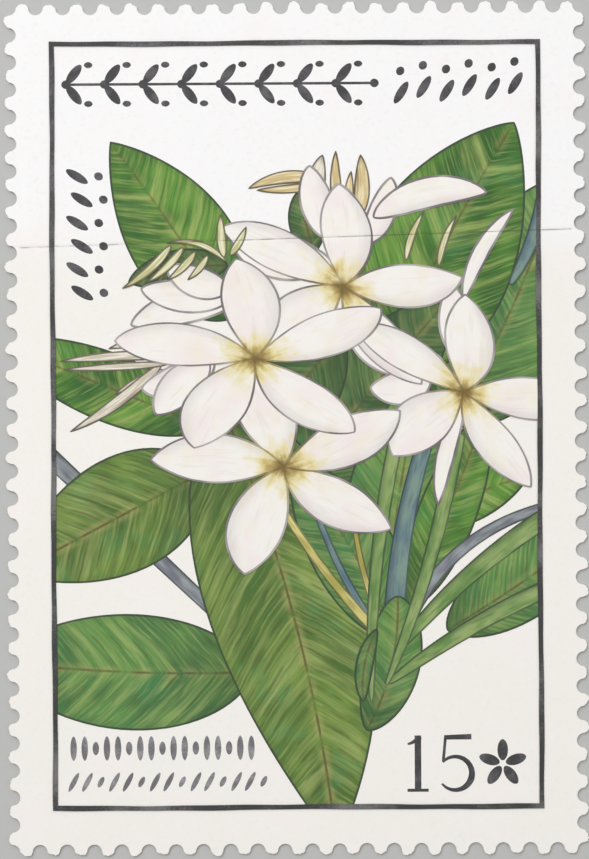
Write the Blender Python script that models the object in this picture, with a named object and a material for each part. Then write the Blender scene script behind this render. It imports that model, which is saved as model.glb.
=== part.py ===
"""Perforated postage stamp, lying flat with its printed face up.

The sheet is cut from a larger pane by rows of punched holes, so each edge is a line of half holes with
torn teeth between them, and each corner is a quarter hole. Its layers, from the bottom, are the dried
gum, the paper, and two films of ink: the dark frame rule and the picture inside it.

Metres, +Z up, origin under the middle of the sheet at the gum's lower face. +Y is the picture's top.
"""

import math

import bmesh
import bpy
from mathutils import Matrix, Vector

# Perforation: the gauge is the number of holes in 20 mm, and the sheet is a whole number of pitches.
GAUGE_LENGTH = 0.020
HOLES_PER_GAUGE = 15
PITCHES_ACROSS = 21
PITCHES_DOWN = 31
HOLE_DIAMETER = 0.0008
SIDES_PER_HALF_HOLE = 8

# Layers. They are bonded, so the gap between one and the next is only what keeps them separate solids.
GUM_THICKNESS = 0.000015
PAPER_THICKNESS = 0.00009
INK_THICKNESS = 0.000004
LAYER_GAP = 0.000001

# Printed frame rule, to its outer edge, and the picture film that fills it
RULE_WIDTH = 0.00024
RULE_FRAME_WIDTH = 0.02404
RULE_FRAME_HEIGHT = 0.03764
RULE_CORNER_RADIUS = 0.00008
CORNER_SEGMENTS = 4
PICTURE_CLEARANCE = 0.00004
PRINT_RAISED = 0.00018  # the print sits this much above the middle of the sheet

PITCH = GAUGE_LENGTH / HOLES_PER_GAUGE
SHEET_WIDTH = PITCHES_ACROSS * PITCH
SHEET_HEIGHT = PITCHES_DOWN * PITCH
HOLE_RADIUS = HOLE_DIAMETER / 2
PRINT_CENTRE = Vector((0, PRINT_RAISED))
PAPER_BOTTOM = GUM_THICKNESS + LAYER_GAP
INK_BOTTOM = PAPER_BOTTOM + PAPER_THICKNESS + LAYER_GAP


def clear_scene():
    for leftover in list(bpy.data.objects):
        bpy.data.objects.remove(leftover, do_unlink=True)


def finish(name, colour, roughness):
    """A plain non-metallic material."""
    made = bpy.data.materials.new(name)
    made.use_nodes = True
    shader = made.node_tree.nodes["Principled BSDF"]
    shader.inputs["Base Color"].default_value = (*colour, 1.0)
    shader.inputs["Roughness"].default_value = roughness
    shader.inputs["Metallic"].default_value = 0.0
    made.diffuse_color = (*colour, 1.0)
    return made


def hole_arc(centre, first_angle, last_angle, sides):
    """Points along the wall of a punched hole, both ends included."""
    step = (last_angle - first_angle) / sides
    return [
        centre + Matrix.Rotation(first_angle + step * i, 2) @ Vector((HOLE_RADIUS, 0))
        for i in range(sides + 1)
    ]


def perforated_outline():
    """The sheet's edge, anticlockwise: on each side the corner's quarter hole, then the half holes."""
    corners = [
        Vector((across * SHEET_WIDTH / 2, up * SHEET_HEIGHT / 2))
        for across, up in ((-1, -1), (1, -1), (1, 1), (-1, 1))
    ]
    outline = []
    for side, corner in enumerate(corners):
        heading = side * math.pi / 2
        along = Matrix.Rotation(heading, 2) @ Vector((1, 0))
        pitches = PITCHES_DOWN if side % 2 else PITCHES_ACROSS
        outline += hole_arc(corner, heading + math.pi / 2, heading, SIDES_PER_HALF_HOLE // 2)
        for hole in range(1, pitches):
            centre = corner + along * hole * PITCH
            outline += hole_arc(centre, heading + math.pi, heading, SIDES_PER_HALF_HOLE)
    return outline


def rounded_rectangle(width, height, radius):
    """Four corner arcs joined by straight sides, anticlockwise, about the print's centre."""
    outline = []
    for quarter, (across, up) in enumerate(((1, 1), (-1, 1), (-1, -1), (1, -1))):
        middle = PRINT_CENTRE + Vector((across * (width / 2 - radius), up * (height / 2 - radius)))
        for step in range(CORNER_SEGMENTS + 1):
            angle = (quarter + step / CORNER_SEGMENTS) * math.pi / 2
            outline.append(middle + Matrix.Rotation(angle, 2) @ Vector((radius, 0)))
    return outline


def edge_loop(shape, outline, height):
    corners = [shape.verts.new((point.x, point.y, height)) for point in outline]
    return [shape.edges.new((start, end)) for start, end in zip(corners, corners[1:] + corners[:1])]


def layer(name, outline, bottom, thickness, material, opening=None):
    """A flat closed solid: the face inside the outline, less any opening, extruded up from its bottom."""
    shape = bmesh.new()
    edges = edge_loop(shape, outline, bottom)
    if opening:
        bmesh.ops.bridge_loops(shape, edges=edges + edge_loop(shape, opening, bottom))
    else:
        bmesh.ops.contextual_create(shape, geom=edges)
    extruded = bmesh.ops.extrude_face_region(shape, geom=shape.faces[:])
    top = [item for item in extruded["geom"] if isinstance(item, bmesh.types.BMVert)]
    bmesh.ops.translate(shape, verts=top, vec=(0, 0, thickness))
    bmesh.ops.triangulate(shape, faces=[face for face in shape.faces if len(face.verts) > 4])
    bmesh.ops.recalc_face_normals(shape, faces=shape.faces)
    mesh = bpy.data.meshes.new(name)
    shape.to_mesh(mesh)
    shape.free()
    solid = bpy.data.objects.new(name, mesh)
    solid.data.materials.append(material)
    bpy.context.scene.collection.objects.link(solid)


def build_sheet():
    outline = perforated_outline()
    gum = finish("dried_gum", (0.80, 0.78, 0.71), 0.32)
    layer("gum_layer", outline, 0, GUM_THICKNESS, gum)
    paper = finish("stamp_paper", (0.88, 0.87, 0.84), 0.72)
    layer("paper_sheet", outline, PAPER_BOTTOM, PAPER_THICKNESS, paper)


def build_print():
    outer = rounded_rectangle(RULE_FRAME_WIDTH, RULE_FRAME_HEIGHT, RULE_CORNER_RADIUS)
    inner_width = RULE_FRAME_WIDTH - 2 * RULE_WIDTH
    inner_height = RULE_FRAME_HEIGHT - 2 * RULE_WIDTH
    inner = rounded_rectangle(inner_width, inner_height, RULE_CORNER_RADIUS / 2)
    dark_ink = finish("rule_ink", (0.07, 0.07, 0.07), 0.5)
    layer("frame_rule", outer, INK_BOTTOM, INK_THICKNESS, dark_ink, opening=inner)

    picture = rounded_rectangle(
        inner_width - 2 * PICTURE_CLEARANCE,
        inner_height - 2 * PICTURE_CLEARANCE,
        RULE_CORNER_RADIUS / 2,
    )
    colour_ink = finish("picture_ink", (0.52, 0.62, 0.42), 0.55)
    layer("picture_ink", picture, INK_BOTTOM, INK_THICKNESS, colour_ink)


clear_scene()
build_sheet()
build_print()
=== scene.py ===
# A perforated postage stamp: folded paper, gum and the printed drawing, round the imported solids.
import math
import random

import bmesh
import bpy
from mathutils import Matrix, Vector


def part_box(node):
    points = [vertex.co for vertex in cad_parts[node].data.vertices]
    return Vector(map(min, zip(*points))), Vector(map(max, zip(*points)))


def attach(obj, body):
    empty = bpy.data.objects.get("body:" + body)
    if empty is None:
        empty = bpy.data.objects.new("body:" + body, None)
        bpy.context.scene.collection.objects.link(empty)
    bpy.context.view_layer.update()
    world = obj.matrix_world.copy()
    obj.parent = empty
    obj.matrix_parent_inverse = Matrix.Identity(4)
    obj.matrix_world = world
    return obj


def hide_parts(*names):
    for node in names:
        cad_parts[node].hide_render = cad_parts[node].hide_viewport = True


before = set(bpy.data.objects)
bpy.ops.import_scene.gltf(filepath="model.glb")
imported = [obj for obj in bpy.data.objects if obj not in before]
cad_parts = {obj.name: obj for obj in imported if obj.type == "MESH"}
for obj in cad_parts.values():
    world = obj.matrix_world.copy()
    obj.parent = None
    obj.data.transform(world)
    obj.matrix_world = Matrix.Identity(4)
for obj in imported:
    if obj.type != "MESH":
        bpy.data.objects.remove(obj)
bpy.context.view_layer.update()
mm = 0.001  # every place and size below is in millimetres, from the middle of the sheet


cameraPlan = {
    "lens": 100,
    "tallestSeen": 42.08,  # how much of the floor the view's long side shows
    "middle": (-0.10, -0.04),
    "turn": -0.33,
}


def placeCamera():
    lens = bpy.data.cameras.new("camera")
    lens.lens = cameraPlan["lens"]
    lens.clip_start = 0.01
    camera = bpy.data.objects.new("camera", lens)
    height = cameraPlan["tallestSeen"] * lens.lens / lens.sensor_width
    camera.location = Vector((*cameraPlan["middle"], height)) * mm
    camera.rotation_euler.z = math.radians(cameraPlan["turn"])
    bpy.context.scene.collection.objects.link(camera)
    bpy.context.scene.camera = camera


placeCamera()
print("camera placed")


# Materials. A Wire is a socket that sums can be written with, and a Finish is its material.

class Wire:
    def __init__(self, finish, socket):
        self.finish = finish
        self.socket = socket

    def math(self, operation, *values):
        return self.finish.node("Math", {"operation": operation}, dict(enumerate(values)))

    def __add__(self, other):
        return self.math("ADD", self, other)

    def __sub__(self, other):
        return self.math("SUBTRACT", self, other)

    def __rsub__(self, other):
        return self.math("SUBTRACT", other, self)

    def __mul__(self, other):
        return self.math("MULTIPLY", self, other)

    def __truediv__(self, other):
        return self.math("DIVIDE", self, other)

    def __abs__(self):
        return self.math("ABSOLUTE", self)

    __radd__ = __add__
    __rmul__ = __mul__

    def wave(self, length):  # 0 at every whole length, 1 half way between
        return self.math("PINGPONG", self, length / 2) * (2 / length)

    def ease(self, start, end):  # 0 at start, 1 at end, whichever is larger
        span = {"Value": self, "From Min": start, "From Max": end}
        return self.finish.node("MapRange", {"interpolation_type": "SMOOTHSTEP"}, span)


class Finish:
    def __init__(self, name, roughness, specular=0.3):
        self.material = bpy.data.materials.new(name)
        self.material.use_nodes = True
        self.tree = self.material.node_tree
        self.shader = self.tree.nodes["Principled BSDF"]
        self.shader.inputs["Roughness"].default_value = roughness
        self.shader.inputs["Specular IOR Level"].default_value = specular

    def node(self, kind, settings=None, inputs=None, output=0):
        made = self.tree.nodes.new("ShaderNode" + kind)
        for name, value in (settings or {}).items():
            setattr(made, name, value)
        for name, value in (inputs or {}).items():
            self.feed(made.inputs[name], value)
        return Wire(self, made.outputs[output])

    def feed(self, socket, value):
        if isinstance(value, Wire):
            self.tree.links.new(value.socket, socket)
        else:
            socket.default_value = value

    def blend(self, amount, under, over):
        colours = {"Factor": amount, 6: under, 7: over}
        return self.node("Mix", {"data_type": "RGBA"}, colours, output=2)

    def place(self):  # in millimetres
        spot = self.node("TexCoord", output="Object")
        return self.node("VectorMath", {"operation": "SCALE"}, {0: spot, "Scale": 1 / mm})

    def parts(self, vector):
        halves = self.node("SeparateXYZ", inputs={0: vector})
        return halves, Wire(self, halves.socket.node.outputs[1])

    def grain(self):  # millimetres across and along a blade, from the middle of its foot
        return self.parts(self.node("UVMap", {"uv_map": "grain"}))

    def rim(self):  # millimetres in from a blade's edge, and its share of the way to the tip
        return self.parts(self.node("UVMap", {"uv_map": "rim"}))

    def noise(self, vector, scale, detail=2.0):
        return self.node("TexNoise", inputs={"Vector": vector, "Scale": scale, "Detail": detail})

    def strokes(self, across, along, detail=2.0):  # pencil strokes, different on every blade
        hand = self.node("Attribute", {"attribute_name": "hand"}, output="Fac")
        spot = self.node("CombineXYZ", inputs={0: across, 1: along, 2: hand * 40.0})
        return self.noise(spot, 1.0, detail)

    def paint(self, colour):
        self.feed(self.shader.inputs["Base Color"], colour)

    def fibres(self, strength, size=9.0):  # the paper's fibres stand up a little through every ink
        felt = self.noise(self.place(), size, 5.0)
        relief = {"Strength": strength, "Distance": 0.012 * mm, "Height": felt}
        self.feed(self.shader.inputs["Normal"], self.node("Bump", inputs=relief))


def tone(red, green, blue):
    linear = [((part / 255 + 0.055) / 1.055) ** 2.4 for part in (red, green, blue)]
    return (*linear, 1.0)


paperLook = {
    "upper": tone(246, 245, 245),  # above the fold
    "lower": tone(243, 240, 234),  # below the fold, a little darker and warmer: painted shade where the fold turns this part from the light
    "mottle": tone(236, 232, 228),
    "blush": tone(247, 239, 238),
}


def paperFinish():
    paper = Finish("stamp_paper", 0.74, 0.25)
    place = paper.place()
    upDown = paper.node("SeparateXYZ", inputs={0: place}, output=1)
    # painted shade: the sheet below the fold is painted darker and warmer than above it, standing in for
    # how the light falls across the fold
    shadeBelowFold = (upDown + paper.noise(place, 0.25) * 6.0).ease(13.5, 10.5)
    colour = paper.blend(shadeBelowFold, paperLook["upper"], paperLook["lower"])
    blushed = paper.noise(place, 0.35, 3.0).ease(0.45, 0.75) * 0.5
    colour = paper.blend(blushed, colour, paperLook["blush"])
    mottled = paper.noise(place, 5.0, 5.0).ease(0.5, 0.8) * 0.45
    colour = paper.blend(mottled, colour, paperLook["mottle"])
    paper.paint(colour)
    paper.fibres(0.55, 7.0)
    return paper


gumLook = {
    "film": tone(232, 226, 208),
    "thick": tone(214, 204, 176),
    "crackle": tone(240, 236, 224),
}


def gumFinish():
    gum = Finish("dried_gum", 0.3, 0.5)
    place = gum.place()
    along = {"Vector": place, "Scale": (0.15, 1.6, 1.0)}
    rollerMarks = gum.noise(gum.node("Mapping", inputs=along), 1.0, 3.0)
    colour = gum.blend(rollerMarks.ease(0.35, 0.7) * 0.7, gumLook["film"], gumLook["thick"])
    cells = {"Vector": place, "Scale": 1.1}
    edges = gum.node("TexVoronoi", {"feature": "DISTANCE_TO_EDGE"}, cells)
    crackle = edges.ease(0.035, 0.0)
    colour = gum.blend(crackle * 0.5, colour, gumLook["crackle"])
    gum.paint(colour)
    gum.feed(gum.shader.inputs["Roughness"], 0.26 + gum.noise(place, 2.0, 4.0) * 0.2 + crackle * 0.2)
    height = rollerMarks * 0.8 - crackle * 0.5 + gum.noise(place, 8.0, 3.0) * 0.15
    relief = {"Strength": 0.5, "Distance": 0.01 * mm, "Height": height}
    gum.feed(gum.shader.inputs["Normal"], gum.node("Bump", inputs=relief))
    return gum


lineFade = 0.018  # half the width over which a drawn line fades out


def lineMask(ink, width, wander=0.7):  # a drawn outline whose pressure comes and goes
    inward, _ = ink.rim()
    pressure = ink.noise(ink.place(), 0.9, 2.0)
    return (width * (1 - wander / 2) + pressure * (width * wander) - inward).ease(-lineFade, lineFade)


petalLook = {
    "white": tone(243, 240, 234),
    "cream": tone(240, 233, 214),
    "blush": tone(242, 231, 229),
    "heart": tone(228, 214, 144),
    "ochre": tone(204, 176, 98),
    "core": tone(108, 88, 48),
    "shade": tone(186, 180, 178),
    "line": tone(100, 93, 98),
    "lineWidth": 0.11,
    "heartReach": 2.25,  # how far out along a petal each colour of the heart fades away
    "ochreReach": 1.485,
    "coreReach": 1.15,
    "lineReach": 2.2,  # and the brown that its lines take there
}


def petalInk(heart=True):  # a petal seen from behind, or still rolled, has no heart to show
    ink = Finish("petal_ink" if heart else "back_petal_ink", 0.62)
    look = petalLook
    across, along = ink.grain()
    inward, _ = ink.rim()
    place = ink.place()
    colour = ink.blend(ink.noise(place, 0.5, 2.0).ease(0.4, 0.7), look["white"], look["blush"])
    colour = ink.blend(ink.noise(place, 0.9, 3.0).ease(0.45, 0.75) * 0.7, colour, look["cream"])
    pencil = ink.strokes(across * 5.0, along * 0.5, 3.0)
    colour = ink.blend(pencil.ease(0.54, 0.72) * 0.14, colour, look["shade"])
    covered = across.ease(0.0, -0.6) * inward.ease(0.9, 0.0)
    colour = ink.blend(covered * 0.34, colour, look["shade"])
    lineColour = look["line"]
    # the pen was pressed unevenly
    drawn = ink.noise(place, 0.4, 2.0).ease(0.36, 0.62) * 0.36 + 0.58
    if heart:
        rays = (ink.strokes(across * 3.6, along * 0.35, 3.0) - 0.5) * 0.9
        rays = rays + (ink.noise(place, 1.6, 3.0) - 0.5) * 1.2
        warm = (1.0 - along / look["heartReach"] + rays).ease(0.0, 0.72)
        colour = ink.blend(warm * 0.85, colour, look["heart"])
        deep = (1.0 - along / look["ochreReach"] + rays * 1.2).ease(0.12, 0.85)
        colour = ink.blend(deep * 0.9, colour, look["ochre"])
        core = (1.0 - along / look["coreReach"] + rays * 0.8).ease(0.1, 0.9)
        colour = ink.blend(core * 0.85, colour, look["core"])
        lineColour = ink.blend(along.ease(look["lineReach"], 0.4), look["line"], look["core"])
        drawn = drawn * (along.ease(0.0, 1.6) * 0.5 + 0.5)  # the lines lighten where they meet
    colour = ink.blend(lineMask(ink, look["lineWidth"]) * drawn, colour, lineColour)
    ink.paint(colour)
    ink.fibres(0.3)
    return ink


leafLook = {
    "line": tone(58, 68, 54),
    "shadow": tone(50, 76, 44),
    "bluish": tone(72, 136, 82),
    "rib": tone(88, 74, 42),
    "ribGlow": tone(172, 168, 104),
    "lineWidth": 0.1,
    "fresh": {
        "deep": tone(50, 98, 42), "mid": tone(98, 148, 58), "light": tone(168, 184, 106), "vein": 0.3,
    },
    "olive": {
        "deep": tone(78, 110, 50), "mid": tone(112, 142, 64), "light": tone(162, 176, 106), "vein": 0.52,
    },
    "cool": {
        "deep": tone(66, 112, 64), "mid": tone(100, 144, 74), "light": tone(156, 180, 106), "vein": 0.42,
    },
    "dusk": {
        "deep": tone(54, 84, 52), "mid": tone(80, 112, 62), "light": tone(124, 146, 90), "vein": 0.35,
    },
}
veinPlan = {"gap": 0.95, "lean": 0.75, "curl": 0.07}


def leafInk(name):
    ink = Finish("leaf_ink_" + name, 0.6)
    look = leafLook[name]
    across, along = ink.grain()
    inward, share = ink.rim()
    place = ink.place()
    side = abs(across)
    branch = along - side * veinPlan["lean"] - side * side * veinPlan["curl"]
    branch = branch + ink.noise(place, 0.6, 2.0) * 0.28
    colour = ink.blend(ink.noise(place, 0.28, 2.0).ease(0.35, 0.65), look["deep"], look["mid"])
    bluish = ink.noise(place, 0.45, 2.0).ease(0.52, 0.7) * 0.5
    colour = ink.blend(bluish, colour, leafLook["bluish"])
    broad = ink.strokes(branch * 1.6, across * 0.25, 2.0)
    colour = ink.blend(broad.ease(0.45, 0.75) * 0.6, colour, look["light"])
    fine = ink.strokes(branch * 6.5, across * 0.7, 3.0)
    colour = ink.blend(fine.ease(0.5, 0.72) * 0.45, colour, look["light"])
    colour = ink.blend(fine.ease(0.5, 0.3) * 0.5, colour, look["deep"])
    valleys = branch.wave(veinPlan["gap"]).ease(0.3, 0.0)
    broken = ink.strokes(across * 1.2, along * 1.2, 2.0).ease(0.35, 0.6)
    colour = ink.blend(valleys * broken * look["vein"], colour, leafLook["rib"])
    ridges = branch.wave(veinPlan["gap"]).ease(0.7, 1.0)
    colour = ink.blend(ridges * look["vein"] * 0.45, colour, leafLook["ribGlow"])
    ribGlow = side.ease(0.42, 0.1) * broken
    colour = ink.blend(ribGlow * look["vein"] * 0.7, colour, leafLook["ribGlow"])
    rib = side.ease(0.085, 0.03) * (0.3 + broken * 0.7)
    colour = ink.blend(rib * (look["vein"] + 0.25), colour, leafLook["rib"])
    colour = ink.blend(inward.ease(0.55, 0.0) * 0.35, colour, look["deep"])
    # hatched darker towards the foot, under the flowers
    hidden = (share + fine * 0.3).ease(0.55, 0.15)
    colour = ink.blend(hidden * 0.55, colour, leafLook["shadow"])
    colour = ink.blend(lineMask(ink, leafLook["lineWidth"]) * 0.88, colour, leafLook["line"])
    ink.paint(colour)
    ink.fibres(0.35)
    return ink


stemLook = {
    "line": tone(52, 60, 54),
    "lineWidth": 0.08,
    "blue": {"dark": tone(62, 84, 96), "body": tone(90, 116, 130), "light": tone(124, 148, 138)},
    "green": {"dark": tone(62, 92, 52), "body": tone(98, 136, 72), "light": tone(150, 170, 108)},
    "yellow": {"dark": tone(112, 112, 50), "body": tone(166, 160, 80), "light": tone(214, 202, 130)},
    "grey": {"dark": tone(80, 80, 90), "body": tone(114, 116, 126), "light": tone(158, 166, 166)},
}


def stemInk(name):
    ink = Finish("stem_ink_" + name, 0.6)
    look = stemLook[name]
    across, along = ink.grain()
    fine = ink.strokes(across * 9.0, along * 0.8, 3.0)
    broad = ink.strokes(across * 1.5, along * 0.5, 2.0)
    colour = ink.blend(broad.ease(0.35, 0.65), look["body"], look["light"])
    colour = ink.blend((across * 1.6 + fine - 0.5).ease(0.1, 0.7) * 0.75, colour, look["dark"])
    colour = ink.blend(fine.ease(0.5, 0.7) * 0.4, colour, look["light"])
    colour = ink.blend(fine.ease(0.48, 0.3) * 0.45, colour, look["dark"])
    colour = ink.blend(lineMask(ink, stemLook["lineWidth"]) * 0.7, colour, stemLook["line"])
    ink.paint(colour)
    ink.fibres(0.3)
    return ink


budLook = {
    "line": tone(78, 70, 58),
    "lineWidth": 0.075,
    "cream": {"light": tone(232, 230, 196), "body": tone(196, 192, 138), "dark": tone(98, 96, 58)},
    "gold": {"light": tone(236, 222, 182), "body": tone(206, 184, 134), "dark": tone(110, 94, 64)},
    "pale": {"light": tone(236, 230, 214), "body": tone(202, 192, 172), "dark": tone(96, 84, 70)},
}


def budInk(name):
    ink = Finish("bud_ink_" + name, 0.62)
    look = budLook[name]
    across, along = ink.grain()
    _, share = ink.rim()
    fine = ink.strokes(across * 9.0, along * 0.7, 3.0)
    colour = ink.blend(fine.ease(0.35, 0.6), look["light"], look["body"])
    colour = ink.blend((across * 2.2 + fine - 0.5).ease(0.15, 0.8) * 0.7, colour, look["dark"])
    colour = ink.blend(share.ease(0.8, 1.0) * 0.6, colour, look["dark"])
    colour = ink.blend(lineMask(ink, budLook["lineWidth"]) * 0.85, colour, budLook["line"])
    ink.paint(colour)
    ink.fibres(0.3)
    return ink


darkLook = {
    "black": {"full": tone(64, 63, 65), "thin": tone(98, 96, 99), "patch": 1.3},
    "rule": {"full": tone(62, 62, 62), "thin": tone(116, 114, 114), "patch": 0.4},
    "grey": {"full": tone(112, 110, 112), "thin": tone(156, 154, 156), "patch": 1.3},
}


def darkInk(name):
    ink = Finish("line_ink_" + name, 0.5)
    look = darkLook[name]
    place = ink.place()
    patchy = ink.noise(place, look["patch"], 3.0) * 0.7 + ink.noise(place, 11.0, 3.0) * 0.3
    ink.paint(ink.blend(patchy.ease(0.42, 0.66), look["full"], look["thin"]))
    ink.fibres(0.25)
    return ink


# a thin grey line drawn along the fold, patchy in strength
creaseLook = {"creaseLine": tone(104, 100, 96), "least": 0.1, "most": 0.6, "width": 0.07}


# the fold's thin grey line, fading at its sides, its strength patchy along it
def creaseFinish():
    creaseLine = Finish("crease_line", 0.85, 0.1)
    creaseLine.paint(creaseLook["creaseLine"])
    across, _ = creaseLine.grain()
    patchiness = creaseLine.noise(creaseLine.place(), 1.1, 4.0).ease(0.3, 0.7)
    soft = abs(across).ease(creaseLook["width"] / 2, 0.008)
    span = creaseLook["most"] - creaseLook["least"]
    creaseLine.feed(creaseLine.shader.inputs["Alpha"], soft * (creaseLook["least"] + patchiness * span))
    return creaseLine


# The sheet was folded once across its upper half and pressed flat again, so it stands up along
# that line.
foldPlan = {
    "left": 8.93,  # the fold's height on the sheet at its left and right edges
    "right": 9.70,
    "rise": (  # how high the sheet stands, by the distance across from the fold
        (-4.6, 0.0), (-1.6, 0.022), (-0.13, 0.035), (0.0, 0.024), (0.13, 0.037), (1.8, 0.02), (4.4, 0.0),
    ),
}
sheetLow, sheetHigh = [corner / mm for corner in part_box("paper_sheet")]
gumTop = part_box("gum_layer")[1].z / mm
foldStart = Vector((sheetLow.x, foldPlan["left"], 0))
foldAlong = (Vector((sheetHigh.x, foldPlan["right"], 0)) - foldStart).normalized()
foldAcross = Vector((-foldAlong.y, foldAlong.x, 0))
onLine = 1e-5  # a corner this near to a cut counts as being on it


def riseAt(place):
    away = (place - foldStart).dot(foldAcross)
    for (near, nearRise), (far, farRise) in zip(foldPlan["rise"], foldPlan["rise"][1:]):
        if near <= away <= far:
            return nearRise + (farRise - nearRise) * (away - near) / (far - near)
    return 0.0


def cutAlong(shape, place, across, clearOuter=False):
    everything = shape.verts[:] + shape.edges[:] + shape.faces[:]
    bmesh.ops.bisect_plane(
        shape, geom=everything, dist=onLine, plane_co=place, plane_no=across, clear_outer=clearOuter
    )


def scoreFold(shape):  # edges along every change of slope, so that all the layers bend alike
    for away, _ in foldPlan["rise"]:
        cutAlong(shape, foldStart + foldAcross * away, foldAcross)


def foldShape(shape):
    for corner in shape.verts:
        corner.co.z += riseAt(Vector((corner.co.x, corner.co.y, 0)))


def thicken(shape, under):  # a flat film keeps its top and gets walls and an underside
    grown = bmesh.ops.extrude_face_region(shape, geom=shape.faces[:])
    for item in grown["geom"]:
        if isinstance(item, bmesh.types.BMVert):
            item.co.z = under
    bmesh.ops.recalc_face_normals(shape, faces=shape.faces)


def makePiece(name, shape, finish, node):
    bmesh.ops.scale(shape, vec=(mm, mm, mm), verts=shape.verts)
    mesh = bpy.data.meshes.new(name)
    shape.to_mesh(mesh)
    shape.free()
    mesh.materials.append(finish.material)
    piece = bpy.data.objects.new(name, mesh)
    bpy.context.scene.collection.objects.link(piece)
    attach(piece, "root")
    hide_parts(node)


sheetPlan = {
    "pitchesAcross": 21,
    "pitchesDown": 31,
    "hole": 0.74,  # a little under the solid's
    "holeSteps": 10,
    "tear": 0.20,  # how far a torn tip stands out past the line of holes
    "tearCuts": 8,
    "ragged": 0.026,
}
gumPlan = {"hole": 0.8, "tear": 0.06, "ragged": 0.03}
fibrePlan = {
    "perTip": 7,
    "length": (0.05, 0.17),
    "radius": 0.0055,
    "spread": 60,
    "aside": 0.24,  # how far from the middle of its tip a fibre may grow
    "rooted": 0.05,
    "lift": 0.25,
    "inside": 0.02,  # how far below the sheet's face it starts
}


def perforatedSheet(hole, tear, ragged, seed):
    shape = bmesh.new()
    draw = random.Random(seed)
    corners = [
        Vector((sheetLow.x, sheetLow.y, 0)),
        Vector((sheetHigh.x, sheetLow.y, 0)),
        Vector((sheetHigh.x, sheetHigh.y, 0)),
        Vector((sheetLow.x, sheetHigh.y, 0)),
    ]
    walls = []
    for side, corner in enumerate(corners):
        heading = Matrix.Rotation(side * math.pi / 2, 3, "Z")
        pitches = sheetPlan["pitchesDown"] if side % 2 else sheetPlan["pitchesAcross"]
        pitch = (corners[(side + 1) % 4] - corner).length / pitches
        for number in range(pitches):
            middle = corner + heading @ Vector((number * pitch, 0, 0))
            turn = math.pi if number else math.pi / 2
            radius = hole / 2 * draw.uniform(0.97, 1.03)
            arm = Matrix.Rotation(turn, 3, "Z") @ Vector((radius, 0, 0))
            first = shape.verts.new(middle + heading @ arm)
            steps = sheetPlan["holeSteps"] if number else sheetPlan["holeSteps"] // 2
            arc = bmesh.ops.spin(
                shape, geom=[first], cent=middle, axis=(0, 0, 1), angle=-turn, steps=steps
            )
            walls.append((first, arc["geom_last"][0], heading))
    tips = []
    for (_, last, heading), (following, _, _) in zip(walls, walls[1:] + walls[:1]):
        gap = following.co - last.co
        out = heading @ Vector((0, -1, 0))
        stand = tear * draw.uniform(0.6, 1.25)
        peak = math.log(0.5) / math.log(draw.uniform(0.35, 0.65))
        previous = last
        for cut in range(sheetPlan["tearCuts"]):
            along = (cut + 1) / (sheetPlan["tearCuts"] + 1)
            bulge = math.sin(math.pi * along ** peak) ** 0.6
            torn = out * (stand * bulge + draw.uniform(-ragged, ragged))
            ahead = shape.verts.new(last.co + gap * along + torn)
            shape.edges.new((previous, ahead))
            previous = ahead
        shape.edges.new((previous, following))
        tips.append((last.co + gap / 2 + out * stand * 0.7, out))
    bmesh.ops.contextual_create(shape, geom=shape.edges[:])
    return shape, tips


def makeLayer(shape, top, under):  # a flat outline becomes one layer of the folded sheet
    bmesh.ops.translate(shape, vec=(0, 0, top), verts=shape.verts)
    scoreFold(shape)
    bmesh.ops.triangulate(shape, faces=shape.faces[:])
    thicken(shape, under)
    foldShape(shape)


def buildPaper():
    shape, tips = perforatedSheet(sheetPlan["hole"], sheetPlan["tear"], sheetPlan["ragged"], 11)
    makeLayer(shape, sheetHigh.z, sheetLow.z)
    paper = paperFinish()
    makePiece("paper", shape, paper, "paper_sheet")

    plan = fibrePlan
    fibres = bmesh.new()
    draw = random.Random(23)
    for tip, out in tips:
        for _ in range(plan["perTip"]):
            length = draw.uniform(*plan["length"])
            aside = Vector((-out.y, out.x, 0)) * draw.uniform(-plan["aside"], plan["aside"])
            swing = Matrix.Rotation(math.radians(draw.gauss(0, plan["spread"] / 2)), 3, "Z")
            lift = Vector((0, 0, draw.uniform(-plan["lift"], plan["lift"])))
            heading = (swing @ out + lift).normalized()
            foot = tip + aside - out * plan["rooted"]
            height = draw.uniform(sheetLow.z + plan["inside"], sheetHigh.z - plan["inside"])
            middle = Vector((foot.x, foot.y, height)) + heading * length * 0.45
            turned = Matrix.Translation(middle) @ heading.to_track_quat("Z", "Y").to_matrix().to_4x4()
            bmesh.ops.create_cone(
                fibres, cap_ends=True, segments=5, radius1=plan["radius"],
                radius2=plan["radius"] * 0.3, depth=length, matrix=turned,
            )
    foldShape(fibres)
    makePiece("torn_fibres", fibres, paper, "paper_sheet")


def buildGum():
    shape, _ = perforatedSheet(gumPlan["hole"], gumPlan["tear"], gumPlan["ragged"], 37)
    makeLayer(shape, gumTop, 0.0)
    makePiece("gum", shape, gumFinish(), "gum_layer")


buildPaper()
buildGum()
print("paper and gum made")


# The print. Each drawn thing is a thin closed film of ink, and where two cross the later one is on top.
inkPlan = {
    "firstCoat": 0.0015,
    "coatStep": 0.0005,
    "sunk": 0.0008,  # how far a film goes into the paper
    "ruleWidth": 0.24,
    "ruleWander": 0.030,
    "overlap": 0.05,  # how far a colour runs in under the frame rule
}
ruleLow, ruleHigh = [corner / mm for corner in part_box("frame_rule")]
laid = [inkPlan["firstCoat"]]  # the height of the last coat


def nextCoat(slope=0.0):  # each film lies on the last one, with room for its two sides to slope
    laid[0] += inkPlan["coatStep"] + slope * 2
    return sheetHigh.z + laid[0] - slope


def lowCoat(number):  # for ornament on bare paper
    return sheetHigh.z + inkPlan["firstCoat"] + inkPlan["coatStep"] * number


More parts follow.
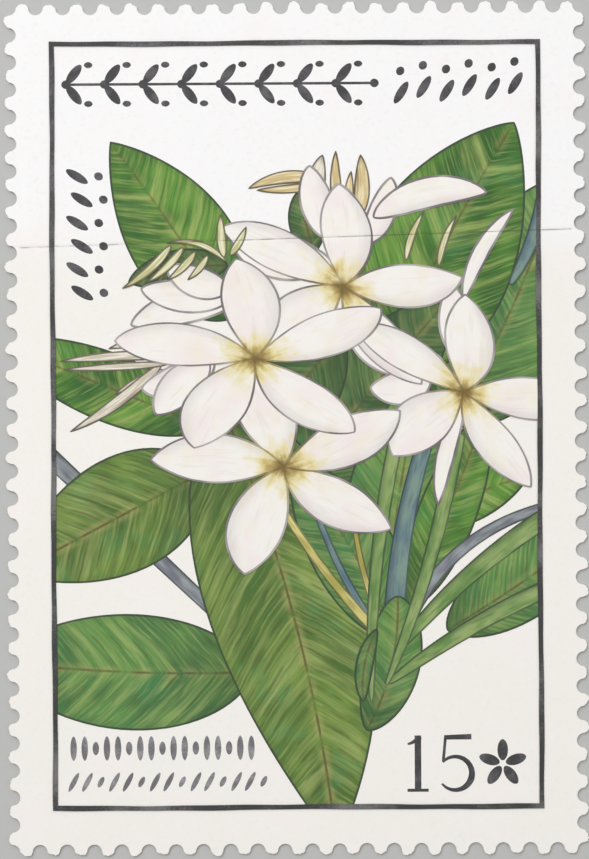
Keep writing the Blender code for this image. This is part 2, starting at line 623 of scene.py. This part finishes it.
def newDrawing():
    shape = bmesh.new()
    shape.loops.layers.uv.new("grain")
    shape.loops.layers.uv.new("rim")
    shape.verts.layers.float.new("hand")
    return shape


def pointing(degrees):
    angle = math.radians(degrees)
    return Vector((math.cos(angle), math.sin(angle)))


def bow(foot, tip, bend=0.0):  # a line that bends to its left by a share of its length
    foot, tip = Vector((*foot, 0)), Vector((*tip, 0))
    reach = tip - foot
    left = Vector((-reach.y, reach.x, 0))
    return lambda share: foot + reach * share + left * (bend * 4 * share * (1 - share))


def arc(middle, radius, start, end):
    middle = Vector((*middle, 0))
    return lambda share: middle + pointing(start + (end - start) * share).to_3d() * radius


def leafy(width, swell=0.7, close=0.7):  # half the width along a blade that is pointed at both ends
    widest = swell / (swell + close)
    most = widest ** swell * (1 - widest) ** close
    return lambda share: width / 2 * share ** swell * (1 - share) ** close / most


def even(width, tipWidth=None):
    last = width if tipWidth is None else tipWidth
    return lambda share: (width + (last - width) * share) / 2


bladePlan = {
    "lengthSteps": 20,
    "step": 0.002,  # how far apart, as a share of the way, two spots are that give a slope
    "weld": 0.0002,  # corners nearer than this become one
}


def addBlade(shape, line, half, height, tilt=0.0, columns=8, rows=24, squash=None, hand=0.0):
    grid = bmesh.ops.create_grid(shape, x_segments=columns, y_segments=rows, size=1)
    grainMap = shape.loops.layers.uv["grain"]
    rimMap = shape.loops.layers.uv["rim"]
    handLayer = shape.verts.layers.float["hand"]
    steps = bladePlan["lengthSteps"]
    length = sum((line((step + 1) / steps) - line(step / steps)).length for step in range(steps))
    tiny = bladePlan["step"]
    for corner in grid["verts"]:
        side = corner.co.x
        share = math.sin(math.pi / 4 * (corner.co.y + 1)) ** 2
        before, after = max(share - tiny, 0), min(share + tiny, 1)
        ahead = (line(after) - line(before)).normalized()
        slope = (half(after) - half(before)) / (after - before) / length
        inward = (1 - abs(side)) * half(share) / math.sqrt(1 + slope * slope)
        inward = min(inward, (1 - share) * length) if half(1) < tiny else inward
        for loop in corner.link_loops:
            loop[grainMap].uv = (side * half(share), share * length)
            loop[rimMap].uv = (inward, share)
        corner[handLayer] = hand
        spot = line(share) + Vector((-ahead.y, ahead.x, 0)) * side * half(share)
        spot = squash(spot) if squash else spot
        corner.co = (spot.x, spot.y, height - side * (tilt if half(share) > 0 else 0))
    bmesh.ops.remove_doubles(shape, verts=grid["verts"], dist=bladePlan["weld"])


def layFilm(shape):  # down into the paper and over the fold
    scoreFold(shape)
    thicken(shape, sheetHigh.z - inkPlan["sunk"])
    foldShape(shape)


def makeDrawing(name, shape, finish):
    margin = inkPlan["ruleWidth"] - inkPlan["overlap"]
    for corner, out in ((ruleLow, -1), (ruleHigh, 1)):
        for way in (Vector((out, 0, 0)), Vector((0, out, 0))):
            cutAlong(shape, corner - way * margin, way, clearOuter=True)
    layFilm(shape)
    makePiece(name, shape, finish, "picture_ink")


leaves = {  # in the order they are printed; close says how full each one is at its tip
    "leaf_behind_right": {
        "foot": (7.4, 0.2), "tip": (12.9, 12.2), "width": 7.2, "bend": -0.04, "ink": "cool",
    },
    "leaf_top_right": {
        "foot": (4.2, 2.4), "tip": (10.75, 14.95), "width": 7.5, "bend": 0.02,
        "ink": "fresh", "close": 0.84,
    },
    "leaf_top_left": {
        "foot": (-3.1, 5.4), "tip": (-9.05, 14.1), "width": 5.1, "bend": -0.01,
        "ink": "fresh", "close": 0.9,
    },
    "leaf_behind_buds": {
        "foot": (-3.3, 8.0), "tip": (-8.2, 7.2), "width": 1.9, "bend": -0.05, "ink": "dusk",
    },
    "leaf_behind_top": {
        "foot": (0.9, 8.6), "tip": (0.1, 11.6), "width": 1.7, "bend": 0.0, "ink": "dusk",
    },
    "leaf_between": {
        "foot": (-0.6, -4.0), "tip": (7.6, 6.4), "width": 5.0, "bend": 0.02, "ink": "dusk",
    },
    "leaf_under_front": {
        "foot": (2.2, 4.6), "tip": (-5.0, -3.2), "width": 4.6, "bend": 0.02, "ink": "dusk",
    },
    "leaf_left_upper": {
        "foot": (-4.4, 0.1), "tip": (-14.6, 4.3), "width": 3.4, "bend": 0.0, "ink": "fresh",
    },
    "leaf_left_lower": {
        "foot": (-4.4, -2.0), "tip": (-13.9, -7.0), "width": 5.7, "bend": 0.0,
        "ink": "olive", "close": 0.86,
    },
    "leaf_bottom_left": {
        "foot": (-2.2, -11.9), "tip": (-14.9, -11.3), "width": 5.7, "bend": 0.02, "ink": "cool",
    },
    "leaf_bottom": {
        "foot": (-3.6, 1.0), "tip": (1.85, -20.4), "width": 8.2, "bend": 0.036,
        "ink": "olive", "close": 0.93,
    },
    "leaf_middle": {"foot": (4.4, -10.2), "tip": (6.2, 2.4), "width": 5.2, "bend": 0.03, "ink": "cool"},
    "leaf_lower_middle": {
        "foot": (4.9, -10.4), "tip": (-0.2, -1.6), "width": 4.2, "bend": -0.03, "ink": "cool",
    },
    "leaf_right_tip": {
        "foot": (6.2, -4.7), "tip": (11.3, -2.4), "width": 2.5, "bend": 0.05, "ink": "fresh",
    },
    "leaf_right_middle": {
        "foot": (5.5, -8.8), "tip": (9.4, 1.0), "width": 2.9, "bend": 0.0, "ink": "fresh",
    },
    "leaf_right_lower": {
        "foot": (7.3, -9.9), "tip": (15.4, -4.3), "width": 3.7, "bend": -0.02, "ink": "cool",
    },
}
backStems = {
    "stem_left_edge": {
        "foot": (-12.4, -1.0), "tip": (-4.2, -8.8), "width": 0.85, "bend": 0.0, "ink": "grey",
    },
}
stems = {
    "stem_arching": {
        "foot": (5.0, -10.4), "tip": (12.2, -3.9), "width": 0.66, "bend": 0.13, "ink": "grey",
    },
    "stem_blue": {"foot": (4.7, -10.2), "tip": (6.6, 0.2), "width": 1.0, "bend": 0.04, "ink": "blue"},
    "stem_slim": {"foot": (4.1, -10.2), "tip": (0.8, -3.6), "width": 0.42, "bend": 0.04, "ink": "blue"},
    "stem_gold": {
        "foot": (4.3, -10.0), "tip": (2.8, -4.6), "width": 0.38, "bend": 0.04, "ink": "yellow",
    },
    "stem_yellow": {
        "foot": (3.9, -10.0), "tip": (-1.0, -3.4), "width": 0.5, "bend": 0.03, "ink": "yellow",
    },
}
crown = {
    "leaf_crown": {
        "foot": (3.35, -14.8), "tip": (4.9, -8.2), "width": 2.8, "bend": -0.07,
        "ink": "cool", "close": 0.56,
    },
}
crownStems = {  # these grow out over the crown, from a point
    "stem_lowest": {
        "foot": (4.4, -12.5), "tip": (12.2, -7.9), "width": 0.9, "bend": 0.03, "ink": "green",
    },
    "stem_reaching": {
        "foot": (4.75, -11.0), "tip": (12.2, -4.4), "width": 1.0, "bend": 0.04, "ink": "green",
    },
    "stem_olive": {
        "foot": (4.3, -12.6), "tip": (7.9, -0.2), "width": 0.8, "bend": -0.03, "ink": "green",
    },
    "stem_green": {
        "foot": (3.6, -13.4), "tip": (4.9, -0.4), "width": 0.75, "bend": 0.03, "ink": "green",
    },
}
edgeStems = {  # printed last, over the leaf behind it
    "stem_right_edge": {
        "foot": (10.5, 7.0), "tip": (12.3, 11.9), "width": 0.8, "bend": -0.05, "ink": "blue",
    },
}
youngLeaves = {
    "leaf_young": {
        "foot": (3.9, -9.8), "tip": (3.2, -13.4), "width": 0.9, "bend": -0.08,
        "ink": "cool", "close": 0.6,
    },
}
flowers = {
    "flower_upper": {"heart": (2.32, 6.97), "reach": 6.4, "turn": 85, "squash": 0.72, "lean": -28},
    "flower_right": {"heart": (8.18, 1.75), "reach": 6.3, "turn": 81, "squash": 0.70, "lean": -32},
    "flower_lower": {"heart": (-0.64, -1.86), "reach": 6.8, "turn": 34, "squash": 0.82, "lean": 0},
    "flower_front": {"heart": (-2.03, 3.45), "reach": 7.0, "turn": 100, "squash": 0.68, "lean": 0},
}
petalPlan = {
    "cross": 0.06,  # how far behind the heart each petal starts, so that they cross there
    "width": 0.43,
    "swell": 0.96,
    "close": (0.68, 0.9),
    "bend": -0.045,
    "tilt": 0.0010,
    "sway": 4,
}
backPetals = {
    "petals_back_left": (
        ((-3.0, 6.2), (-8.1, 5.1), 1.7, -0.06), ((-3.0, 6.6), (-7.6, 6.9), 1.7, 0.05),
        ((-3.2, 6.9), (-6.3, 8.0), 1.6, 0.08), ((-4.0, 3.4), (-7.6, 2.0), 1.7, 0.08),
        ((-4.2, 3.2), (-6.9, 0.7), 1.9, -0.06),
    ),
    "petals_back_top": (
        ((1.6, 8.2), (-3.2, 9.5), 2.3, 0.08), ((1.8, 8.0), (-2.6, 8.7), 1.5, -0.04),
        ((1.9, 9.2), (0.7, 12.9), 1.7, 0.06), ((3.4, 9.0), (4.7, 12.3), 1.4, -0.06),
        ((3.8, 10.3), (9.4, 11.5), 1.6, 0.11), ((2.9, 9.2), (2.0, 12.0), 1.6, 0.0),
    ),
    "petals_back_right": (
        ((7.2, 3.3), (2.6, 4.5), 1.8, 0.10), ((6.6, 2.4), (3.6, 2.0), 1.7, 0.08),
        ((6.9, 2.6), (4.4, 4.0), 1.3, -0.10), ((8.3, 3.2), (7.7, 7.0), 1.7, 0.05),
        ((8.2, 6.2), (10.7, 10.7), 0.85, 0.08), ((8.2, 1.2), (6.9, -3.8), 0.95, -0.05),
    ),
}
backBuds = {
    "buds_left_edge": ("pale", (
        ((-6.2, 4.0), (-9.2, 3.95), 0.5, -0.08), ((-6.4, 2.9), (-8.9, 1.7), 0.42, -0.04),
        ((-6.6, 3.2), (-11.1, -0.1), 0.62, 0.04), ((-6.3, 3.2), (-11.4, 2.95), 0.4, 0.0),
        ((-6.2, 3.6), (-11.6, 3.35), 0.5, -0.02),
    )),
    "buds_top_left": ("gold", (
        ((1.2, 12.2), (-2.3, 11.75), 0.66, -0.09), ((1.1, 11.9), (-1.9, 11.68), 0.46, 0.02),
    )),
    "buds_top": ("gold", (
        ((2.15, 10.4), (2.0, 13.6), 0.58, 0.03), ((2.7, 10.4), (2.75, 12.6), 0.5, 0.04),
        ((3.1, 10.4), (3.2, 13.4), 0.8, -0.04),
    )),
    "buds_on_leaf": ("cream", (
        ((5.4, 8.2), (6.3, 10.6), 0.4, 0.06), ((7.0, 7.9), (7.9, 10.4), 0.38, 0.06),
    )),
    "bud_top_white": ("pale", (
        ((0.9, 10.6), (1.35, 13.4), 1.0, 0.04),
    )),
}
buds = {
    "buds_upper_left": ("cream", (
        ((-6.1, 9.0), (-8.5, 6.9), 0.46, 0.06), ((-5.5, 8.9), (-7.3, 7.2), 0.44, 0.06),
        ((-4.9, 8.7), (-6.3, 7.3), 0.42, 0.06), ((-4.3, 8.5), (-5.3, 7.3), 0.38, 0.06),
        ((-3.4, 8.2), (-6.3, 9.1), 0.34, -0.14), ((-3.5, 8.4), (-3.65, 10.5), 0.5, 0.03),
        ((-3.2, 8.5), (-2.4, 9.9), 0.42, -0.04),
    )),
}


def buildLeaves(draw, plans):
    for name, plan in plans.items():
        shape = newDrawing()
        line = bow(plan["foot"], plan["tip"], plan["bend"])
        outline = leafy(plan["width"], 0.62, plan.get("close", 0.72))
        addBlade(shape, line, outline, nextCoat(), columns=12, rows=36, hand=draw.random())
        makeDrawing(name, shape, leafInks[plan["ink"]])


def buildStems(draw, plans, pointed=False):
    for name, plan in plans.items():
        shape = newDrawing()
        line = bow(plan["foot"], plan["tip"], plan["bend"])
        width = plan["width"]
        wide = leafy(width, 0.3, 0.03) if pointed else even(width * 1.1, width * 0.8)
        addBlade(shape, line, wide, nextCoat(), columns=6, rows=24, hand=draw.random())
        makeDrawing(name, shape, stemInks[plan["ink"]])


def addFlower(shape, plan, draw):
    heart = Vector((*plan["heart"], 0))
    lean = Matrix.Rotation(math.radians(plan["lean"]), 3, "Z")
    tilted = lean @ Matrix.Diagonal((1, plan["squash"], 1)) @ lean.transposed()

    def squash(spot):
        return heart + tilted @ (spot - heart)

    height = nextCoat(petalPlan["tilt"])
    for number in range(5):
        sway = draw.uniform(-petalPlan["sway"], petalPlan["sway"])
        toward = pointing(plan["turn"] + 72 * number + sway)
        reach = plan["reach"] * draw.uniform(0.95, 1.05)
        foot = heart.xy - toward * petalPlan["cross"]
        line = bow(foot, heart.xy + toward * reach, petalPlan["bend"])
        wide = petalPlan["width"] * plan["reach"] * draw.uniform(0.94, 1.06)
        outline = leafy(wide, petalPlan["swell"], draw.uniform(*petalPlan["close"]))
        addBlade(shape, line, outline, height, petalPlan["tilt"], 12, 32, squash, draw.random())


def buildFlowers(draw):
    ink = petalInk()
    backInk = petalInk(heart=False)
    for name, petals in backPetals.items():
        shape = newDrawing()
        for foot, tip, width, bend in petals:
            outline = leafy(width, 0.6, 0.66)
            addBlade(shape, bow(foot, tip, bend), outline, nextCoat(), hand=draw.random())
        makeDrawing(name, shape, backInk)
    for name, plan in flowers.items():
        shape = newDrawing()
        addFlower(shape, plan, draw)
        makeDrawing(name, shape, ink)


def buildBuds(draw, groups):
    for name, (inkName, group) in groups.items():
        shape = newDrawing()
        for foot, tip, width, bend in group:
            outline = leafy(width, 0.45, 0.7)
            addBlade(shape, bow(foot, tip, bend), outline, nextCoat(), columns=6, hand=draw.random())
        makeDrawing(name, shape, budInks[inkName])


# Plain ornament stands where a stamp has its wording, and a plain number where it has its value.
ornaments = {
    "garland": {
        "from": (-11.2, 16.9), "to": (3.9, 16.9), "sprigs": 9, "leaf": (1.15, 0.46), "slant": 52,
        "stalk": 0.13, "leafAway": 0.56, "joint": (0.44, 0.42), "berry": (0.42, 0.3),
        "berryAway": (1.1, 0.95),
    },
    "seedRow": {
        "from": (5.2, 16.75), "to": (10.8, 16.95), "count": 6, "leaf": (1.25, 0.42), "slant": 58,
    },
    "seedColumn": {
        "from": (-10.35, 12.4), "to": (-10.35, 6.7), "count": 6, "leaf": (1.25, 0.42), "slant": -32,
    },
    "captionRow": {
        "from": (-11.0, -15.6), "to": (-2.3, -15.6), "count": 17, "leaf": (1.2, 0.32), "slant": 90,
    },
    "captionLine": {
        "from": (-11.0, -17.25), "to": (-1.7, -17.25), "count": 15, "leaf": (1.05, 0.25), "slant": 62,
    },
    "seedPair": {"leafAside": 0.28, "berry": (0.45, 0.4), "berryAside": 0.78, "step": (-0.05, 0.18)},
    "value": {
        "foot": -17.75, "head": -15.05, "one": 5.85, "five": 7.05,
        "rosette": (10.0, -16.45), "petal": (1.05, 0.52), "petalAway": 0.68,
    },
}


def spots(plan, count):
    start, end = Vector(plan["from"]), Vector(plan["to"])
    return [start.lerp(end, number / (count - 1)) for number in range(count)]


def addSeed(shape, middle, length, width, slant, coat=1):
    half = pointing(slant) * length / 2
    outline = leafy(width, 0.55, 0.55)
    addBlade(shape, bow(middle - half, middle + half), outline, lowCoat(coat), columns=4, rows=10)


def buildGarland():
    plan = ornaments["garland"]
    shape = newDrawing()
    addBlade(shape, bow(plan["from"], plan["to"]), even(plan["stalk"]), lowCoat(0), columns=2, rows=30)
    length, width = plan["leaf"]
    ahead, aside = plan["berryAway"]
    joints = spots(plan, plan["sprigs"])
    for middle in joints:
        for way in (1, -1):
            if middle is not joints[-1]:
                slant = plan["slant"] * way
                away = pointing(slant) * length * plan["leafAway"]
                addSeed(shape, middle + away, length, width, slant, 2 + way)
                addSeed(shape, middle + Vector((ahead, way * aside)), *plan["berry"], 0)
        addSeed(shape, middle, *plan["joint"], 0, 4)
    makeDrawing("garland", shape, blackInk)


def buildSeeds():
    for name, label in (("seedRow", "seed_row"), ("seedColumn", "seed_column")):
        plan = ornaments[name]
        pair = ornaments["seedPair"]
        shape = newDrawing()
        start, end = Vector(plan["from"]), Vector(plan["to"])
        over = (end - start).orthogonal().normalized()
        over = over if over.y > 0 or over.x > 0 else -over
        for number, middle in enumerate(spots(plan, plan["count"])):
            step = over * pair["step"][number % 2]
            addSeed(shape, middle - over * pair["leafAside"] + step, *plan["leaf"], plan["slant"])
            addSeed(shape, middle + over * pair["berryAside"] + step, *pair["berry"], plan["slant"])
        makeDrawing(label, shape, blackInk)


def buildCaption():
    for name, label in (("captionRow", "caption_row"), ("captionLine", "caption_line")):
        plan = ornaments[name]
        shape = newDrawing()
        for number, middle in enumerate(spots(plan, plan["count"])):
            length, width = plan["leaf"]
            short = 0.55 if number % 3 == 2 else 1.0  # every third seed is a short one
            addSeed(shape, middle, length * short, width, plan["slant"])
        makeDrawing(label, shape, greyInk)


def buildValue():
    plan = ornaments["value"]
    foot, head = plan["foot"], plan["head"]
    shape = newDrawing()
    one, five = plan["one"], plan["five"]
    strokes = (
        (bow((one, foot), (one, head)), even(0.32)),
        (bow((one - 0.5, head - 0.42), (one + 0.1, head - 0.06), -0.08), even(0.10, 0.26)),
        (bow((one - 0.52, foot + 0.02), (one + 0.52, foot + 0.02)), even(0.15)),
        (bow((five + 0.12, head - 0.1), (five + 1.42, head - 0.07)), even(0.22, 0.27)),
        (bow((five + 0.16, head), (five + 0.04, head - 1.25)), even(0.14)),
        (arc((five + 0.62, foot + 0.84), 0.82, 138, -20), even(0.12, 0.32)),
        (arc((five + 0.62, foot + 0.84), 0.82, -20, -142), even(0.32, 0.10)),
    )
    for number, (line, wide) in enumerate(strokes):
        addBlade(shape, line, wide, lowCoat(number), columns=3, rows=16)
    middle = Vector(plan["rosette"])
    for number in range(5):
        angle = 90 + 72 * number
        addSeed(shape, middle + pointing(angle) * plan["petalAway"], *plan["petal"], angle, number)
    makeDrawing("value_and_rosette", shape, blackInk)


rulePlan = {
    "cuts": 48,
    "drift": ((0.42, 1.3, 0.6), (1.9, 0.0, 0.25)),  # each wave's rate, start and size, for both edges
    "swell": (0.9, 2.0, 0.35),  # and the one that makes the rule wider and narrower
}


def wavering(wave, run):
    rate, start, size = wave
    return math.sin(run * rate + start) * size


def buildFrameRule():
    plan = inkPlan
    wide, tall = (ruleHigh - ruleLow).xy
    middle = (ruleLow + ruleHigh) / 2
    shape = bmesh.new()
    bmesh.ops.create_grid(shape, x_segments=1, y_segments=1, size=0.5)
    bmesh.ops.scale(shape, vec=(wide, tall, 1), verts=shape.verts)
    bmesh.ops.translate(shape, vec=(middle.x, middle.y, nextCoat()), verts=shape.verts)
    panel = shape.faces[:]
    bmesh.ops.inset_region(
        shape, faces=panel, thickness=plan["ruleWidth"], use_boundary=True, use_even_offset=True
    )
    bmesh.ops.delete(shape, geom=panel, context="FACES_ONLY")
    sides = [edge for edge in shape.edges if edge.calc_length() > 1]
    bmesh.ops.subdivide_edges(shape, edges=sides, cuts=rulePlan["cuts"], use_grid_fill=True)
    for corner in shape.verts:
        away = corner.co - middle
        onSide = abs(away.x) / wide > abs(away.y) / tall
        run = away.y if onSide else away.x
        drift = sum(wavering(wave, run) for wave in rulePlan["drift"])
        edge = 1 if max(abs(away.x) / wide, abs(away.y) / tall) > 0.495 else -1
        drift += edge * wavering(rulePlan["swell"], run)
        push = plan["ruleWander"] * drift
        corner.co += Vector((push, 0, 0)) if onSide else Vector((0, push, 0))
    scoreFold(shape)
    bmesh.ops.triangulate(shape, faces=[face for face in shape.faces if len(face.verts) > 4])
    thicken(shape, sheetHigh.z - plan["sunk"])
    foldShape(shape)
    makePiece("frame_rule_ink", shape, darkInk("rule"), "frame_rule")


def buildCrease():
    shape = newDrawing()
    line = bow((sheetLow.x + 0.5, foldPlan["left"]), (sheetHigh.x - 0.5, foldPlan["right"]))
    addBlade(shape, line, even(creaseLook["width"]), nextCoat(), columns=4, rows=60)
    layFilm(shape)
    makePiece("crease_line", shape, creaseFinish(), "picture_ink")


draw = random.Random(71)
blackInk = darkInk("black")
greyInk = darkInk("grey")
leafInks = {name: leafInk(name) for name in ("fresh", "olive", "cool", "dusk")}
stemInks = {name: stemInk(name) for name in ("blue", "green", "yellow", "grey")}
budInks = {name: budInk(name) for name in ("cream", "gold", "pale")}
buildStems(draw, backStems)
buildLeaves(draw, leaves)
buildStems(draw, stems)
buildLeaves(draw, crown)
buildStems(draw, crownStems, pointed=True)
buildLeaves(draw, youngLeaves)
print("leaves and stems printed")
buildBuds(draw, backBuds)
buildFlowers(draw)
buildBuds(draw, buds)
buildStems(draw, edgeStems, pointed=True)
print("flowers and buds printed")
buildGarland()
buildSeeds()
buildCaption()
buildValue()
buildFrameRule()
buildCrease()
print("ornament, value, frame rule and crease printed")


studio = {
    "floor": (0.50, 0.50, 0.49),
    "floorPatch": 1.03,  # how much paler its palest patches are
    "floorSize": 1.5,
    "floorDrop": 0.02 * mm,
    "sky": 0.43,
    "lights": (
        ("key", (-0.12, 0.15, 0.24), 0.20, 0.58),
        ("fill", (0.22, -0.06, 0.20), 0.26, 0.15),
        ("rim", (0.02, 0.30, 0.14), 0.18, 0.15),
    ),
}


def buildStudio():
    card = Finish("floor_card", 0.9, 0.2)
    shade = card.noise(card.node("TexCoord", output="Object"), 3.0, 2.0)
    pale = (*studio["floor"], 1)
    paler = (*[part * studio["floorPatch"] for part in studio["floor"]], 1)
    card.paint(card.blend(shade, pale, paler))
    shape = bmesh.new()
    bmesh.ops.create_grid(shape, x_segments=1, y_segments=1, size=studio["floorSize"])
    mesh = bpy.data.meshes.new("floor")
    shape.to_mesh(mesh)
    shape.free()
    mesh.materials.append(card.material)
    floor = bpy.data.objects.new("floor", mesh)
    floor.location.z = -studio["floorDrop"]
    bpy.context.scene.collection.objects.link(floor)

    world = bpy.data.worlds.new("studio")
    world.use_nodes = True
    world.node_tree.nodes["Background"].inputs["Strength"].default_value = studio["sky"]
    world.node_tree.nodes["Background"].inputs["Color"].default_value = (1, 1, 1, 1)
    bpy.context.scene.world = world
    for name, place, size, power in studio["lights"]:
        lamp = bpy.data.lights.new(name, "AREA")
        lamp.size = size
        lamp.energy = power
        light = bpy.data.objects.new(name, lamp)
        light.location = place
        light.rotation_euler = Vector(place).to_track_quat("Z", "Y").to_euler()
        bpy.context.scene.collection.objects.link(light)
    bpy.context.scene.view_settings.view_transform = "Standard"


buildStudio()
print("studio lit")
